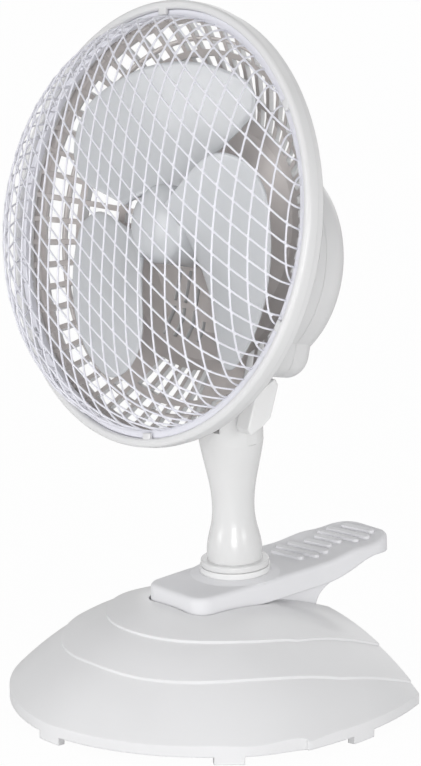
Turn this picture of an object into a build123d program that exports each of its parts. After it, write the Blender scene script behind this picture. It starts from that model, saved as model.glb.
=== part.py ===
from build123d import *
import os
from math import atan2, cos, degrees, hypot, pi, radians, sin, tan

# A six-inch clip fan that stands in its own terraced base.
# Millimetres, +Z up, the air blows towards -Y, +X to the right seen from the front.

# ---------------------------------------------------------------- driving sizes
# Base: a terraced D-shaped moulding, closed underneath by a plate
base_half_width = 88.0
base_front_length = 85.0       # from the widest line to the front tip
base_rear_length = 119.0       # of the uncut oval, behind the widest line
base_widest_y = -21.4          # from the swivel axis
base_rear_y = 41.2             # flat rear edge, from the swivel axis
base_wall = 2.4
base_power = 1.85              # 2 is a true oval in front, less is more pointed
rim_height = 8.2               # top of the rim, above the table
dome_rise = 37.0               # crown of the lowest tier above the rim
dome_power = 2.37              # how flat the crown is
rear_fall = 0.16               # how much more the crown drops at the rear edge
tier_step = 1.2
foot_height = 3.4
foot_width = 13.0
foot_depth = 3.2
foot_angles = (0, 58, 102)     # degrees from the front tip, repeated on both sides
rear_foot_x = 48.0
mid_tier = dict(half_width=70.0, centre_y=16.0, front=97.5, power=2.2)
top_tier = dict(half_width=50.0, centre_y=2.0, front=64.0, power=2.05)

plate_thickness = 2.0
plate_gap = 0.3
post_radius = 4.5
post_places = ((46.0, -62.0), (58.0, 18.0))
screw_radius = 1.5
screw_head_radius = 3.0
screw_head_height = 1.6
base_screw_length = 12.0
weight_size = (74.0, 40.0, 9.0)
weight_y = base_widest_y - 0.548 * base_front_length
weight_pin_radius = 3.0

# Clip: it lies tilted in the base, rising towards its handle
clip_rise = 2.4                # degrees
clip_seat_z = 46.0             # underside of the upper jaw on the swivel axis
jaw_front_y = -37.3
jaw_half_width = 18.6          # at its front
jaw_middle_half_width = 20.4   # level with the neck
jaw_rear_half_width = 17.0     # at the handle
jaw_corner = 8.0
jaw_wall = 2.2
jaw_height = 8.7
jaw_edge = 2.2                 # rounding of its upper edges
skirt_drop = 1.0               # how far its skirt hangs below the clip's seat
handle_end_y = 84.0
handle_corner = 15.5
handle_start_y = 38.0          # where it starts to rise
handle_rise = 1.5
handle_tip_z = 7.4
handle_lift = 4.4              # of its underside, ahead of the tip
handle_solid_y = 58.0          # solid behind this line
grip_ridges = 8
grip_start_y = 31.0
grip_pitch = 6.2
grip_lean = 8.0                # degrees from straight across
grip_ridge_width = 3.2
grip_ridge_height = 1.5
grip_length = 25.0

tongue_thickness = 3.5         # base panel that the jaws grip
pad_thickness = 1.6
pad_recess = 0.5
pad_half_width = 12.5
pad_front_gap = 4.0
pad_length = 25.0
grip_gap = 0.1                 # between a pad and the panel
lower_plate = 3.0
slot_front_y = -3.2            # front end of the slot in the base's crown
slot_clearance = 0.8
cheek_wall = 2.2
cheek_gap = 0.35               # cheek to the inside of the upper jaw's skirt
cheek_depth = 16.0             # how far the cheeks reach below the clip's seat
cheek_rear_y = 32.0            # at their foot
cheek_flare_y = 47.5           # at their top
heel_thickness = 2.4

pin_radius = 1.6
pin_y = 22.0
pin_z = 3.0
running_gap = 0.05
jaw_opening = 16.0             # degrees
pin_boss_radius = 3.4
spring_wire_radius = 0.55
spring_radius = 2.75
spring_turns = 4
spring_pitch = 1.75
spring_spread = 50.0           # degrees between its two legs

# Swivel
boss_height = 1.3
boss_foot_radius = 20.0
collar_radius = 15.6
collar_height = 2.7
flange_radius = 15.2
flange_height = 2.8
swivel_gap = 0.1
spigot_radius = 8.0
spigot_tube_wall = 2.4
spigot_end_z = 3.6
washer_radius = 11.0
washer_thickness = 1.2
swivel_screw_radius = 2.0
swivel_screw_length = 14.0
swivel_head_radius = 4.0
swivel_head_height = 1.5

# Neck: a waisted column with a fork at its top; heights from the clip's seat
pivot_height = 88.8
neck_foot_radius = 12.2
neck_line = ((12.2, 21.3), (11.3, 26.6), (10.2, 31.0), (9.35, 39.0), (10.2, 49.5), (12.3, 60.0))   # radius, height
neck_top_radius = 14.2
neck_top_z = 70.0
fork_half_width = 13.9
fork_radius = 10.8
lug_half_width = 6.0
lug_radius = 9.4
tilt_washer = 0.6
tilt_washer_radius = 8.0
fork_gap = 0.1
slot_below_pivot = 12.4

tilt_screw_radius = 2.5
tilt_head_radius = 5.0
tilt_head_height = 3.2
knob_stand_off = 0.3
knob_thickness = 8.0
knob_width = 11.6
knob_half_length = 13.2
knob_lean = 20.0               # degrees its bar leans from the neck's line
insert_radius = 4.0
insert_length = 5.0

# Head, measured in its own frame: x right, y rearward, z up from the ring's centre
head_tilt = 12.5               # degrees the fan looks up
pivot_behind_ring = 54.8
pivot_below_axis = 72.1
ring_radius = 95.0
ring_width = 3.8
ring_depth = 5.4
ring_round = 1.2
tab_count = 6
tab_width = 4.8
tab_start = 38.0               # degrees clockwise from the top, seen from the front
tab_reach = 2.5

mesh_radius = ring_radius - 6.5
mesh_rise = 38.7
mesh_power = 2.69
mesh_thickness = 1.0
mesh_hoop_gap = 0.6            # behind the hoop, to the guard's rim
mesh_hoop_depth = 2.6
diamond_long = 18.8
diamond_short = 9.5
diamond_lean = 57.0            # degrees the long diagonal falls to the right
strand_width = 1.3
smallest_opening = 9.0         # square millimetres; scraps at the edge are left closed

guard_rim_width = 3.2
guard_rim_inset = 1.0          # its outside, inside the ring's
guard_rim_depth = 3.6
guard_plate_radius = 44.0      # flat inner plate that carries the motor
guard_plate_depth = 34.0
# The bowl's inside as (share of the ring's radius, depth), from its rim to the plate
guard_profile = ((0.9705, 2.0), (0.884, 10.5), (0.737, 21.0), (0.589, 29.3))
guard_thickness = 2.2
rib_count = 54
rib_width = 2.4
# Rows of windows, from and to these shares of the ring's radius
guard_rows = ((0.954, 0.805), (0.779, 0.637), (0.61, 0.526))
slot_lines = ((-22.2, -20.0, -34.0), (-22.2, -36.4, -49.0), (-15.6, -20.0, -34.0), (-15.6, -36.4, -49.0),
              (-8.6, -26.0, -34.0), (-8.6, -36.4, -49.0), (-1.6, -40.0, -49.0))   # x, top, foot
slot_width = 2.0

housing_radius = 47.0
housing_drop = 12.0            # its centre lies below the fan's axis
housing_wall = 2.0
seam_depth = 54.0
cover_depth = 70.0
cover_round = 10.0
lobe_half_width = 36.5
lobe_foot = 58.0
lobe_top = 30.0
lobe_corner = 11.0
lobe_cover_depth = 66.5
lobe_round = 7.0
vent_count = 7
vent_width = 2.6
vent_pitch = 6.4
vent_half_length = 26.0
vent_top = 24.0

# Motor
shaft_radius = 2.0
shaft_front = -2.0
shaft_rear = 62.5
rotor_radius = 11.5
stator_bore = 12.0
stack_depth = 14.0
stack_front = 43.0
stator_width = 50.0
stator_height = 46.0
stator_window_width = 8.0
coil_width = 22.0
coil_height = 12.0
coil_overhang = 5.0
bracket_thickness = 2.2
bracket_height = 16.0
bearing_radius = 5.0
bearing_length = 5.0
motor_screw_x = 21.0
motor_screw_radius = 1.75

# Blades
blade_count = 3
blade_radius = 0.737 * ring_radius
hub_radius = 16.9
hub_front = -8.5
hub_rear = 18.0
hub_wall = 2.0
blade_thickness = 1.6
blade_pitch = 15.0             # rise in millimetres for each radian
blade_mid_y = 1.5
blade_front_reach = 51.0       # degrees from its middle line to the front edge
blade_rear_reach = 46.0
blade_phase = -17.0            # degrees clockwise from the top, first blade
blade_front_corner = 26.0
blade_rear_corner = 12.0

# Switch and cord inlet, on the rear cover
switch_z = -34.0
switch_width = 16.0
switch_height = 6.0
switch_body_depth = 7.0
slider_width = 6.0
slider_travel = 6.0
slider_stand_out = 2.4
gland_z = -46.0
gland_radius = 4.5
gland_length = 7.0
gland_bore = 2.6

cover_screw_places = ((-31.0, 8.0), (31.0, 8.0), (-26.0, -47.5), (26.0, -47.5))
cover_screw_length = 16.0
cover_post_radius = 3.6


# ---------------------------------------------------------------- frames
def turned(x_degrees):
    return Rot(X=x_degrees)


clip_frame = Pos(0, 0, clip_seat_z) * turned(clip_rise)
pivot = (clip_frame * Pos(0, 0, pivot_height)).position
head_frame = Pos(*pivot) * turned(-head_tilt) * Pos(0, -pivot_behind_ring, pivot_below_axis)

# The origin stands under the middle of the whole object
shift_y = (base_front_length - base_widest_y - handle_end_y * cos(radians(clip_rise))) / 2
to_row = Pos(0, shift_y, 0)

parts = {}


def keep(name, shape, frame=Pos(0, 0, 0)):
    parts[name] = to_row * frame * shape


def box(x, y, z):
    """A block between the given pairs of coordinates."""
    return Pos((x[0] + x[1]) / 2, (y[0] + y[1]) / 2, (z[0] + z[1]) / 2) * Box(
        x[1] - x[0], y[1] - y[0], z[1] - z[0]
    )


def rod(radius, length, start, along):
    """A cylinder from a start point along one axis, given as a vector."""
    return Plane(start, z_dir=along) * Cylinder(radius, length, align=(Align.CENTER, Align.CENTER, Align.MIN))


def spun(points, centre=(0, 0)):
    """A body of revolution about the head's own axis, from (radius, depth) points."""
    outline = Polyline(*[(radius, depth) for radius, depth in points], close=True)
    return Pos(centre[0], 0, centre[1]) * revolve(make_face(outline), Axis.Y)


def mirrored(shape):
    return mirror(shape, Plane.YZ)


# ---------------------------------------------------------------- base
def d_outline(half_width, centre_y, front, power, rear_y, rear=None):
    """Plan of the base or of a tier: a blunt oval in front and a flat rear edge."""
    steps = 8
    curve = []
    for i in range(-steps, steps + 1):
        a = i / steps * pi / 2
        side = 1 if a >= 0 else -1
        curve.append((
            side * half_width * abs(sin(a)) ** (2 / power),
            centre_y - front * cos(a) ** (2 / power),
        ))
    corner_x = half_width
    if rear:
        corner_x = half_width * (1 - ((rear_y - centre_y) / rear) ** 2) ** 0.5
    front_edge = Spline(*curve, tangents=((0, -1), (0, 1)))
    if rear:
        right = Spline(
            (half_width, centre_y), (corner_x, rear_y),
            tangents=((0, 1), (-half_width * (rear_y - centre_y) / rear**2, corner_x / half_width)),
        )
        left = mirror(right, Plane.YZ)
    else:
        right = Line((half_width, centre_y), (half_width, rear_y))
        left = Line((-half_width, centre_y), (-half_width, rear_y))
    back = Line((corner_x, rear_y), (-corner_x, rear_y))
    return make_face([front_edge, right, back, left])


def base_outline(inset=0.0):
    return d_outline(
        base_half_width - inset, base_widest_y, base_front_length - inset,
        base_power, base_rear_y - inset, base_rear_length - inset,
    )


def dome_height(x, y):
    depth = y - base_widest_y
    if depth < 0:
        share = (abs(x / base_half_width) ** base_power + abs(depth / base_front_length) ** base_power)
        share = share ** (1 / base_power)
    else:
        share = hypot(x / base_half_width, depth / base_rear_length)
    fall = rear_fall * (max(depth, 0) / (base_rear_y - base_widest_y)) ** 2
    return rim_height + dome_rise * (1 - share**dome_power) * (1 - fall)


def dome_under(lift=0.0):
    """Everything below the dome's surface, raised or lowered by lift."""
    columns, rows = 16, 18
    x_reach, y_front, y_rear = base_half_width + 6, base_widest_y - base_front_length - 6, base_rear_y + 6
    grid = [
        [
            Vector(x, y, dome_height(x, y) + lift)
            for x in [x_reach * (2 * i / columns - 1) for i in range(columns + 1)]
        ]
        for y in [y_front + (y_rear - y_front) * j / rows for j in range(rows + 1)]
    ]
    surface = Face.make_surface_from_array_of_points(grid, tol=0.05)
    return extrude(surface, amount=120, dir=(0, 0, -1))


def prism(face, low, high):
    return Pos(0, 0, low) * extrude(face, amount=high - low)


def tier_prism(tier, low, high):
    return prism(d_outline(tier["half_width"], tier["centre_y"], tier["front"], tier["power"], base_rear_y), low, high)


def jaw_outline(grow=0.0):
    """Plan of the upper jaw in the clip's frame: widest level with the neck, round at the handle."""
    front, rear = jaw_front_y - grow, handle_end_y + grow
    bulge_y = (jaw_front_y + handle_start_y) / 2
    half, middle, narrow = jaw_half_width + grow, jaw_middle_half_width + grow, jaw_rear_half_width + grow
    face = make_face([
        Line((-half, front), (half, front)),
        Spline((half, front), (middle, bulge_y), (narrow, rear)),
        Line((narrow, rear), (-narrow, rear)),
        Spline((-narrow, rear), (-middle, bulge_y), (-half, front)),
    ])
    corners = face.vertices().group_by(Axis.Y)
    face = fillet(corners[0], jaw_corner + grow)
    return fillet(face.vertices().group_by(Axis.Y)[-1], handle_corner + grow)


def jaw_half(y):
    """Half width of the jaw near its middle."""
    row = jaw_outline() & Pos(0, y) * Rectangle(100, 0.2)
    return row.bounding_box().max.X


tongue_top = -pad_recess - pad_thickness + pad_recess - grip_gap + 0.4
tongue_low = tongue_top - tongue_thickness

high = 90.0
dome = dome_under()
solid_base = prism(base_outline(), foot_height, high) & dome
solid_base += tier_prism(mid_tier, foot_height, high) & dome_under(tier_step) & prism(base_outline(0.4), foot_height, high)
solid_base += tier_prism(top_tier, foot_height, high) & dome_under(2 * tier_step) & prism(base_outline(0.8), foot_height, high)
cavity = prism(base_outline(base_wall), foot_height - 1, high) & dome_under(-base_wall)
base_shell = solid_base - cavity

# Screw posts and the well round the gripped panel stand inside the shell
for x, y in post_places:
    for side in (1, -1):
        post = rod(post_radius, high, (side * x, y, foot_height + plate_thickness), (0, 0, 1))
        base_shell += post & cavity
well = clip_frame * box((-jaw_half_width - 4, jaw_half_width + 4), (jaw_front_y - 4, slot_front_y), (tongue_low, 12))
base_shell += well & cavity
seat = prism(jaw_outline(1.0), tongue_top, 40)
base_shell -= clip_frame * (seat & box((-40, 40), (-60, slot_front_y + 0.01), (-20, 60)))
slot_half = jaw_half_width - jaw_wall - cheek_gap + slot_clearance
base_shell -= clip_frame * box(
    (-slot_half, slot_half), (slot_front_y, base_rear_y + 8), (-cheek_depth - slot_clearance, 40)
)
base_shell -= clip_frame * (prism(jaw_outline(1.0), -skirt_drop - 0.6, 40) & box((-40, 40), (slot_front_y, 70), (-20, 60)))
for x, y in post_places:
    for side in (1, -1):
        base_shell -= rod(screw_radius, base_screw_length, (side * x, y, foot_height), (0, 0, 1))

# Feet: short tabs under the rim, flush with its outside
rim_band = prism(base_outline() - base_outline(foot_depth), 0, foot_height)
for angle in foot_angles:
    for side in ((1, -1) if angle else (1,)):
        cutter = Pos(0, base_widest_y, 0) * Rot(Z=side * angle) * box(
            (-foot_width / 2, foot_width / 2), (-2 * base_front_length, -20), (0, foot_height)
        )
        base_shell += rim_band & cutter
for side in (1, -1):
    base_shell += rim_band & box(
        (side * rear_foot_x - foot_width / 2, side * rear_foot_x + foot_width / 2),
        (base_rear_y - 10, base_rear_y), (0, foot_height),
    )
keep("base_shell", base_shell)

base_plate = prism(base_outline(base_wall + plate_gap), foot_height, foot_height + plate_thickness)
for x, y in post_places:
    for side in (1, -1):
        base_plate -= rod(screw_radius + 0.3, 10, (side * x, y, 0), (0, 0, 1))
        base_plate -= rod(screw_head_radius + 0.3, screw_head_height, (side * x, y, foot_height), (0, 0, 1))
weight_pins = [(side * (weight_size[0] / 2 - 8), weight_y) for side in (1, -1)]
for x, y in weight_pins:
    base_plate += rod(weight_pin_radius, weight_size[2] - 1, (x, y, foot_height + plate_thickness), (0, 0, 1))
keep("base_plate", base_plate)

weight_low = foot_height + plate_thickness
base_weight = box(
    (-weight_size[0] / 2, weight_size[0] / 2),
    (weight_y - weight_size[1] / 2, weight_y + weight_size[1] / 2),
    (weight_low, weight_low + weight_size[2]),
)
base_weight = fillet(base_weight.edges().filter_by(Axis.Z), 6)
for x, y in weight_pins:
    base_weight -= rod(weight_pin_radius, 20, (x, y, weight_low), (0, 0, 1))
keep("base_weight", base_weight)


def screw(radius, length, head_radius, head_height):
    """A pan-head screw, its head's underside at the origin, its shank along +Z."""
    body = Cylinder(radius, length, align=(Align.CENTER, Align.CENTER, Align.MIN))
    head = Cylinder(head_radius, head_height, align=(Align.CENTER, Align.CENTER, Align.MAX))
    head = fillet(head.edges().group_by(Axis.Z)[0], head_height * 0.4)
    cross = Box(head_radius, 0.7, head_height) + Box(0.7, head_radius, head_height)
    return body + head - Pos(0, 0, -head_height) * cross


def group(pieces):
    return Compound([solid for piece in pieces for solid in piece.solids()])


base_screws = [
    Pos(side * x, y, foot_height + screw_head_height) * screw(
        screw_radius, base_screw_length - screw_head_height, screw_head_radius, screw_head_height
    )
    for x, y in post_places for side in (1, -1)
]
keep("base_screws", group(base_screws))


# ---------------------------------------------------------------- clip
def jaw_top(drop):
    """Upper line of the jaw's side view, lowered by drop, as (y, z)."""
    top = jaw_height - drop
    ridge = top + handle_rise
    return [
        Line((jaw_front_y, top), (handle_start_y, top)),
        Spline((handle_start_y, top), (handle_start_y + 18, ridge), (handle_end_y - 14, ridge),
               (handle_end_y, handle_tip_z + 1.0 - drop), tangents=((1, 0), (0.2, -1))),
    ]


def jaw_side():
    """Side view of the upper jaw, drawn in (y, z)."""
    level, rise = jaw_top(0)
    return make_face([
        Line((jaw_front_y, -skirt_drop), (jaw_front_y, jaw_height)),
        level,
        rise,
        Line((handle_end_y, handle_tip_z + 1.0), (handle_end_y, handle_tip_z - 1.0)),
        Spline((handle_end_y, handle_tip_z - 1.0), (handle_end_y - 13, handle_lift), (handle_end_y - 29, 2.0),
               (handle_start_y, -skirt_drop), tangents=((-0.2, -1), (-1, -0.06))),
        Line((handle_start_y, -skirt_drop), (jaw_front_y, -skirt_drop)),
    ])


def jaw_room():
    """Everything below the jaw's roof, drawn in (y, z)."""
    level, rise = jaw_top(jaw_wall)
    low = -20
    return make_face([
        Line((jaw_front_y, low), (jaw_front_y, jaw_height - jaw_wall)),
        level,
        rise,
        Line(rise @ 1, (handle_end_y, low)),
        Line((handle_end_y, low), (jaw_front_y, low)),
    ])


def side_body(face, half):
    """Extrudes a (y, z) drawing across x, to both sides."""
    return extrude(Plane.YZ * face, amount=half, both=True)


upper_jaw = side_body(jaw_side(), 40) & prism(jaw_outline(), -20, 40)
roof_edges = upper_jaw.faces().filter_by(Axis.Z).sort_by(Axis.Z)[-1].edges()
upper_jaw = fillet(roof_edges.filter_by(lambda e: e.center().Y < handle_start_y - 1), jaw_edge)
hollow_front_y = jaw_front_y + pad_front_gap + pad_length + 3.5
hollow = side_body(jaw_room(), 40) & prism(jaw_outline(-jaw_wall), -20, 40)
upper_jaw -= hollow & box((-40, 40), (hollow_front_y, handle_solid_y), (-20, 40))
boss_top = jaw_height + boss_height
boss_outline = Polyline(
    (0, jaw_height - 0.5), (boss_foot_radius, jaw_height - 0.5), (boss_foot_radius, jaw_height),
    (collar_radius + 0.6, boss_top), (0, boss_top), close=True,
)
boss = revolve(Plane.XZ * make_face(boss_outline), Axis.Z) & prism(jaw_outline(-0.2), -20, 40)
tube = rod(spigot_radius + running_gap + spigot_tube_wall, boss_top - spigot_end_z - 0.4, (0, 0, spigot_end_z + 0.4), (0, 0, 1))
upper_jaw += boss + tube
upper_jaw -= rod(spigot_radius + running_gap, 40, (0, 0, -10), (0, 0, 1))
upper_jaw -= rod(washer_radius + 0.4, spigot_end_z + 0.4 + 10, (0, 0, -10), (0, 0, 1))
pad_box = box((-pad_half_width, pad_half_width),
              (jaw_front_y + pad_front_gap, jaw_front_y + pad_front_gap + pad_length),
              (-pad_thickness + pad_recess, pad_recess))
upper_jaw -= pad_box
inner_half = jaw_half_width - jaw_wall
pin_seat_x = jaw_half(pin_y) - jaw_wall
pin_length = 2 * (pin_seat_x + 1.1)
upper_jaw -= rod(pin_radius + running_gap, pin_length + 0.2, (-pin_length / 2 - 0.1, pin_y, pin_z), (1, 0, 0))

# Ridges run across the thumb rest, in two leaf-shaped groups
lifted = Pos(0, 0, grip_ridge_height) * side_body(jaw_side(), 40) & prism(jaw_outline(-1.5), jaw_height - 1.4, 40)
for i in range(grip_ridges):
    y = grip_start_y + i * grip_pitch
    leaf = abs(sin(pi * (i + 0.8) / (grip_ridges / 2 + 0.3)))
    ridge = extrude(SlotOverall(grip_length * (0.4 + 0.6 * leaf), grip_ridge_width), amount=20, both=True)
    upper_jaw += Pos(0, y, jaw_height) * Rot(Z=grip_lean) * ridge & lifted
keep("upper_jaw", upper_jaw, clip_frame)
keep("upper_pad", pad_box, clip_frame)

lower_top = tongue_low - grip_gap
lower_pad_box = box((-pad_half_width, pad_half_width),
                    (jaw_front_y + pad_front_gap, jaw_front_y + pad_front_gap + pad_length),
                    (lower_top - pad_thickness, lower_top))
keep("lower_pad", lower_pad_box, clip_frame)

cheek_half = inner_half - cheek_gap
plate_top = lower_top - pad_thickness + pad_recess
lower_jaw = box((-cheek_half, cheek_half), (jaw_front_y + 1.5, slot_front_y + 6), (plate_top - lower_plate, plate_top))
lower_jaw = fillet(lower_jaw.edges().filter_by(Axis.Z).group_by(Axis.Y)[0], 6)
cheek_front_y = slot_front_y + 0.6
cheek_face = make_face([
    Line((cheek_front_y, -cheek_depth), (cheek_rear_y, -cheek_depth)),
    Spline((cheek_rear_y, -cheek_depth), (cheek_rear_y + 4.2, -6.0), (cheek_flare_y, -1.0),
           tangents=((0.1, 1), (1, 0.35))),
    Polyline((cheek_flare_y, -1.0), (pin_y + 8, -1.0), (pin_y + pin_boss_radius, pin_z)),
    ThreePointArc((pin_y + pin_boss_radius, pin_z), (pin_y, pin_z + pin_boss_radius), (pin_y - pin_boss_radius, pin_z)),
    Polyline((pin_y - pin_boss_radius, pin_z), (pin_y - 8, -0.4), (cheek_front_y, -0.4), (cheek_front_y, -1.0)),
    Line((cheek_front_y, -1.0), (cheek_front_y, -cheek_depth)),
])
trough = side_body(cheek_face, cheek_half)
trough -= box((-cheek_half + cheek_wall, cheek_half - cheek_wall), (cheek_front_y - 1, 60), (-cheek_depth + heel_thickness, 40))
lower_jaw += trough
riser = box((-cheek_half, cheek_half), (cheek_front_y, cheek_front_y + 2.4), (-cheek_depth, plate_top))
lower_jaw += riser
lower_jaw -= lower_pad_box
lower_jaw -= rod(pin_radius, pin_length, (-pin_length / 2, pin_y, pin_z), (1, 0, 0))
keep("lower_jaw", lower_jaw, clip_frame)
keep("clip_pin", rod(pin_radius, pin_length, (-pin_length / 2, pin_y, pin_z), (1, 0, 0)), clip_frame)

# Torsion spring round the pin: one wire whose legs press on the roof and on the heel
turned_through = 360 * spring_turns + 180 - spring_spread
coil = Helix(pitch=spring_pitch, height=spring_pitch * turned_through / 360, radius=spring_radius)
leg_rise = pin_z + spring_radius * cos(radians(turned_through)) + cheek_depth - heel_thickness - spring_wire_radius
lower_leg_length = leg_rise / sin(radians(spring_spread)) - 1.2
upper_leg_length = lower_leg_length
upper_leg = Line(coil @ 0 - (coil % 0) * upper_leg_length, coil @ 0)
lower_leg = Line(coil @ 1, coil @ 1 + (coil % 1) * lower_leg_length)
wire = Wire([upper_leg, coil, lower_leg])
clip_spring = sweep(Plane(wire @ 0, z_dir=wire % 0) * Circle(spring_wire_radius), path=wire)
coil_length = spring_pitch * turned_through / 360
clip_spring = Pos(-coil_length / 2, pin_y, pin_z) * Rot(Z=180) * Rot(Y=-90) * clip_spring
print("least gap between the spring's turns", spring_pitch - 2 * spring_wire_radius)
keep("clip_spring", clip_spring, clip_frame)

# ---------------------------------------------------------------- swivel and neck
flange_z = boss_top + collar_height + swivel_gap
keep("swivel_collar", rod(collar_radius, collar_height, (0, 0, boss_top), (0, 0, 1))
     - rod(spigot_radius + running_gap, 20, (0, 0, boss_top - 1), (0, 0, 1)), clip_frame)

column_foot = flange_z + flange_height
column_line = Spline((neck_foot_radius, column_foot), *neck_line, (neck_top_radius, neck_top_z))
column = revolve(Plane.XZ * make_face([
    column_line,
    Line((neck_top_radius, neck_top_z), (0, neck_top_z)),
    Line((0, neck_top_z), (0, column_foot)),
    Line((0, column_foot), (neck_foot_radius, column_foot)),
]), Axis.Z)
fork_face = make_face([
    Line((-neck_top_radius, neck_top_z), (neck_top_radius, neck_top_z)),
    Spline((neck_top_radius, neck_top_z), (fork_radius, pivot_height), tangents=((0, 1), (0, 1))),
    ThreePointArc((fork_radius, pivot_height), (0, pivot_height + fork_radius), (-fork_radius, pivot_height)),
    Spline((-fork_radius, pivot_height), (-neck_top_radius, neck_top_z), tangents=((0, -1), (0, -1))),
])
fork = side_body(fork_face, fork_half_width)
fork = fork & rod(neck_top_radius, 60, (0, 0, neck_top_z), (0, 0, 1))
neck = column + fork
flange = rod(flange_radius, flange_height, (0, 0, flange_z), (0, 0, 1))
flange = fillet(flange.edges().sort_by(Axis.Z)[-1], 0.8)
neck += flange
neck += rod(spigot_radius, flange_z - spigot_end_z, (0, 0, spigot_end_z), (0, 0, 1))
slot_half_width = lug_half_width + tilt_washer + fork_gap
neck -= box((-slot_half_width, slot_half_width), (-40, 40), (pivot_height - slot_below_pivot, pivot_height + 40))
neck -= rod(tilt_screw_radius, 80, (-40, 0, pivot_height), (1, 0, 0))
neck -= rod(tilt_head_radius, 20, (-fork_half_width + tilt_head_height - 20, 0, pivot_height), (1, 0, 0))
neck -= rod(swivel_screw_radius, swivel_screw_length, (0, 0, spigot_end_z), (0, 0, 1))
keep("neck", neck, clip_frame)

swivel_washer = rod(washer_radius, washer_thickness, (0, 0, spigot_end_z - washer_thickness), (0, 0, 1))
swivel_washer -= rod(swivel_screw_radius, 10, (0, 0, 0), (0, 0, 1))
keep("swivel_washer", swivel_washer, clip_frame)
keep("swivel_screw", Pos(0, 0, spigot_end_z - washer_thickness) * screw(
    swivel_screw_radius, swivel_screw_length + washer_thickness, swivel_head_radius, swivel_head_height
), clip_frame)

tilt_washers = []
for side in (1, -1):
    ring = rod(tilt_washer_radius, tilt_washer, (side * lug_half_width, 0, pivot_height), (side, 0, 0))
    ring -= rod(tilt_screw_radius, 40, (-20, 0, pivot_height), (1, 0, 0))
    tilt_washers.append(ring)
keep("tilt_washers", group(tilt_washers), clip_frame)

knob_face_x = fork_half_width + knob_stand_off
screw_end = knob_face_x + insert_length
tilt_screw = rod(tilt_screw_radius, screw_end + fork_half_width - tilt_head_height,
                 (-fork_half_width + tilt_head_height, 0, pivot_height), (1, 0, 0))
tilt_screw += rod(tilt_head_radius, tilt_head_height - 0.6, (-fork_half_width + 0.6, 0, pivot_height), (1, 0, 0))
tilt_screw -= Pos(-fork_half_width, 0, pivot_height) * Box(3, 1.2, 7)
keep("tilt_screw", tilt_screw, clip_frame)

# Wing knob: a slanted bar, the same when turned half round
half_w = knob_width / 2
wing = make_face(Polyline(
    (half_w, knob_half_length * 0.82), (half_w, -knob_half_length * 0.28), (half_w * 0.45, -knob_half_length * 0.62),
    (-half_w * 0.55, -knob_half_length), (-half_w, -knob_half_length * 0.82),
    (-half_w, knob_half_length * 0.28), (-half_w * 0.45, knob_half_length * 0.62),
    (half_w * 0.55, knob_half_length), close=True,
))
wing = fillet(wing.vertices(), 0.9)
knob_place = Pos(0, 0, pivot_height) * Rot(X=-knob_lean)
tilt_knob = Pos(knob_face_x, 0, 0) * extrude(Plane.YZ * wing, amount=knob_thickness)
tilt_knob = fillet(tilt_knob.faces().sort_by(Axis.X)[-1].edges(), 0.7)
knob_insert = rod(insert_radius, insert_length, (knob_face_x, 0, 0), (1, 0, 0))
tilt_knob -= rod(insert_radius, insert_length + 0.2, (knob_face_x, 0, 0), (1, 0, 0))
knob_insert -= rod(tilt_screw_radius + running_gap, insert_length + 1, (knob_face_x - 0.5, 0, 0), (1, 0, 0))
keep("tilt_knob", knob_place * tilt_knob, clip_frame)
keep("knob_insert", knob_place * knob_insert, clip_frame)

# ---------------------------------------------------------------- head: ring and mesh
ring_inner = ring_radius - ring_width
ring = spun((
    (ring_inner, -ring_depth), (ring_radius, -ring_depth), (ring_radius, 0), (ring_inner, 0),
))
ring = fillet(ring.edges().filter_by(GeomType.CIRCLE).group_by(Axis.Y)[0], ring_round)
hoop_outer = ring_inner - 0.1
hoop_rear = -mesh_hoop_gap
hoop_front = hoop_rear - mesh_hoop_depth
for i in range(tab_count):
    tab = Rot(Y=tab_start + i * 360 / tab_count) * box(
        (-tab_width / 2, tab_width / 2), (-ring_depth + 0.4, hoop_front - 0.2),
        (ring_inner - tab_reach, ring_radius - ring_width / 2),
    )
    ring += tab
keep("front_ring", ring, head_frame)


def dome_line(radius, rise):
    """The domed mesh's side view from its middle to its hoop, as (radius, depth) points."""
    line = []
    for share in (0, 0.34, 0.54, 0.69, 0.8, 0.88, 0.94, 0.98, 0.999):
        line.append((share * radius, -rise * (1 - share**mesh_power) ** (1 / mesh_power)))
    return line


outer_line = dome_line(mesh_radius, mesh_rise)
inner_line = dome_line(mesh_radius - mesh_thickness, mesh_rise - mesh_thickness)
sheet = spun(outer_line + [
    (mesh_radius, hoop_front), (hoop_outer, hoop_front), (hoop_outer, hoop_rear),
    (mesh_radius - mesh_thickness, hoop_rear),
] + inner_line[::-1])
half_long, half_short = diamond_long / 2, diamond_short / 2
shrink = 1 - (strand_width / 2) / (half_long * half_short / hypot(half_long, half_short))
lean = radians(diamond_lean)
along = (cos(lean), -sin(lean))
across = (sin(lean), cos(lean))
diamond = make_face(Polyline(*[
    (shrink * (u * along[0] + w * across[0]), shrink * (u * along[1] + w * across[1]))
    for u, w in ((half_long, 0), (0, half_short), (-half_long, 0), (0, -half_short))
], close=True))
face_disc = Circle(mesh_radius)
openings = []
reach = int(2 * mesh_radius / diamond_short)
for i in range(-reach, reach + 1):
    for j in range(-reach, reach + 1):
        u, w = (i + j) * half_long, (i - j) * half_short
        x, z = u * along[0] + w * across[0], u * along[1] + w * across[1]
        if hypot(x, z) > mesh_radius + half_long:
            continue
        opening = Pos(x, z) * diamond
        open_area = sum(face.area for face in (opening & face_disc).faces()) if opening & face_disc else 0
        if open_area > smallest_opening:
            openings.append(opening)
# A sketch drawn in (x, y) becomes (x, z) of the head, seen from the front
face_plane = Plane(origin=(0, hoop_front - 1.4, 0), x_dir=(1, 0, 0), z_dir=(0, -1, 0))
cutters = extrude(face_plane * (Sketch() + openings), amount=60)
front_mesh = sheet - cutters
print("mesh openings", len(openings))
keep("front_mesh", front_mesh, head_frame)

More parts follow.
